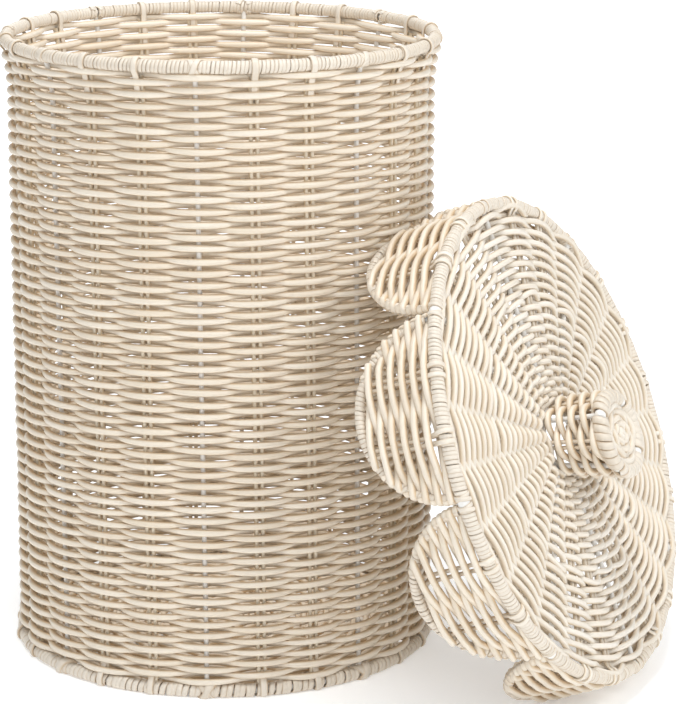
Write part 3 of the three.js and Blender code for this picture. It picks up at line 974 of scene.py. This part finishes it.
def knob_face():
    face = Strands()
    angle = full_circle(KNOB_COUNT)
    size = (KNOB_STRAND, KNOB_STRAND)
    for row, radius in enumerate(np.linspace(FACE_MIDDLE, FACE_EDGE, FACE_ROWS)):
        beat = np.cos(KNOB_STAKES / 2 * angle + math.pi * row)
        route = polar(radius, angle, FACE_SWING * beat)
        face.add(*on_face(route, upward(KNOB_COUNT)), size, closed=True)
    for k in range(KNOB_STAKES // 2):
        route = polar(np.array([-FACE_REACH, 0, FACE_REACH]), k * math.pi / 4, 0.0)
        face.add(*on_face(route, upward(3)), FACE_STAKE)
    # the knob face's paler rattan is painted light
    face.mesh("knob_face", "lid", LIT_LID_WEAVE, WEAVE_SLOT, ["knob_top_weave"])


# ---- Stage, light and camera ----
DAYLIGHT = (0.95, 0.975, 1.0)
KEY_POWER = 28
TOP_POWER = 46
FRONT_POWER = 13
BACK_POWER = 14
UPPER_GLOW = 0.3                 # the small lights in the basket
LOWER_GLOW = 0.15
WORLD_LIGHT = 0.5                # how bright the world is as a light, and how bright it looks
WORLD_SEEN = 1.05
FLOOR_NEAR, FLOOR_FAR = 0.4, 3.0
GLOW_NEAR, GLOW_FAR = 0.26, 0.7  # the light that the floor gives off there


def place_light(name, lamp, place):
    lamp.color = DAYLIGHT
    light = bpy.data.objects.new(name, lamp)
    light.location = place
    bpy.context.scene.collection.objects.link(light)
    return light


def area_light(name, place, target, size, power):
    lamp = bpy.data.lights.new(name, "AREA")
    lamp.size = size
    lamp.energy = power
    light = place_light(name, lamp, place)
    light.rotation_euler = (Vector(target) - Vector(place)).to_track_quat("-Z", "Y").to_euler()


def inner_light(height, power):
    """A small light in the basket, for the light that real rattan lets through."""
    lamp = bpy.data.lights.new("inner", "POINT")
    lamp.energy = power
    lamp.shadow_soft_size = 0.08
    place_light("inner", lamp, (0, 0, height))


def pale_floor():
    """A plain floor that gives off some light, so that it stays as white as the photo's background."""
    bpy.ops.mesh.primitive_plane_add(size=12, location=(0, 0, 0))
    floor = bpy.context.object
    floor.name = "floor"
    material, tree, surface = new_material("pale_floor", FLOOR_ROUGHNESS)
    grain = node(tree, "ShaderNodeTexNoise", Scale=3.0, Detail=2.0)
    tone = ramp(tree, grain.outputs["Fac"], (0.90, 0.90, 0.90), (0.93, 0.93, 0.93))
    tree.links.new(tone, surface.inputs["Base Color"])
    surface.inputs["Emission Color"].default_value = (1, 1, 1, 1)
    where = node(tree, "ShaderNodeTexCoord")
    away = node(tree, "ShaderNodeVectorMath", operation="LENGTH")
    tree.links.new(where.outputs["Object"], away.inputs[0])
    glow = mapped(tree, away.outputs["Value"], FLOOR_NEAR, FLOOR_FAR, GLOW_NEAR, GLOW_FAR, "SMOOTHSTEP")
    tree.links.new(glow, surface.inputs["Emission Strength"])
    floor.data.materials.append(material)


def white_world():
    """Brighter where it is seen than as a light, so that the background is white and the basket isn't."""
    world = bpy.data.worlds.new("studio")
    bpy.context.scene.world = world
    world.use_nodes = True
    tree = world.node_tree
    background = tree.nodes["Background"]
    background.inputs["Color"].default_value = (*DAYLIGHT, 1)
    seen = node(tree, "ShaderNodeLightPath").outputs["Is Camera Ray"]
    strength = mapped(tree, seen, 0.0, 1.0, WORLD_LIGHT, WORLD_SEEN)
    tree.links.new(strength, background.inputs["Strength"])


def stage():
    pale_floor()
    white_world()
    area_light("key", (2.7, -0.5, 2.2), (0.1, 0, 0.3), 1.2, KEY_POWER)
    area_light("top", (0.1, -0.3, 3.0), (0, 0, 0.4), 1.2, TOP_POWER)
    area_light("front", (1.3, -2.3, 1.5), (0.1, 0, 0.25), 1.1, FRONT_POWER)
    area_light("back", (-1.6, 2.3, 2.0), (0, 0, 0.3), 1.4, BACK_POWER)
    inner_light(0.42, UPPER_GLOW)
    inner_light(0.26, LOWER_GLOW)
    bpy.context.scene.view_settings.view_transform = "Standard"


# The camera stands 2.36 m from the basket's axis, at a bearing taken from where the lid leans.
CAMERA_DISTANCE = 2.356
CAMERA_HEIGHT = 0.843
CAMERA_BEARING = math.radians(27.7)
CAMERA_YAW = math.radians(2.37)
CAMERA_PITCH = math.radians(14.33)
CAMERA_ROLL = math.radians(0.15)
CAMERA_LENS = 148.06


def camera():
    lens = bpy.data.cameras.new("camera")
    lens.lens = CAMERA_LENS
    lens.sensor_width = 36
    lens.clip_end = 50
    view = bpy.data.objects.new("camera", lens)
    bpy.context.scene.collection.objects.link(view)
    turn = (Matrix.Rotation(CAMERA_BEARING - CAMERA_YAW, 4, "Z")
            @ Matrix.Rotation(math.pi / 2 - CAMERA_PITCH, 4, "X")
            @ Matrix.Rotation(CAMERA_ROLL, 4, "Z"))
    place = Vector((CAMERA_DISTANCE * math.sin(CAMERA_BEARING), -CAMERA_DISTANCE * math.cos(CAMERA_BEARING),
                    CAMERA_HEIGHT))
    view.matrix_world = Matrix.Translation(place) @ turn
    bpy.context.scene.camera = view


basket_steel()
basket_wall()
basket_stakes()
basket_wraps()
pair_straps()
basket_floor()
lid_steel()
lid_disc()
lid_wrap()
for k in range(PETALS):
    petal_edge(k)
    petal_panel(k)
knob_frame()
knob_sleeve()
knob_end()
knob_face()
stage()
camera()
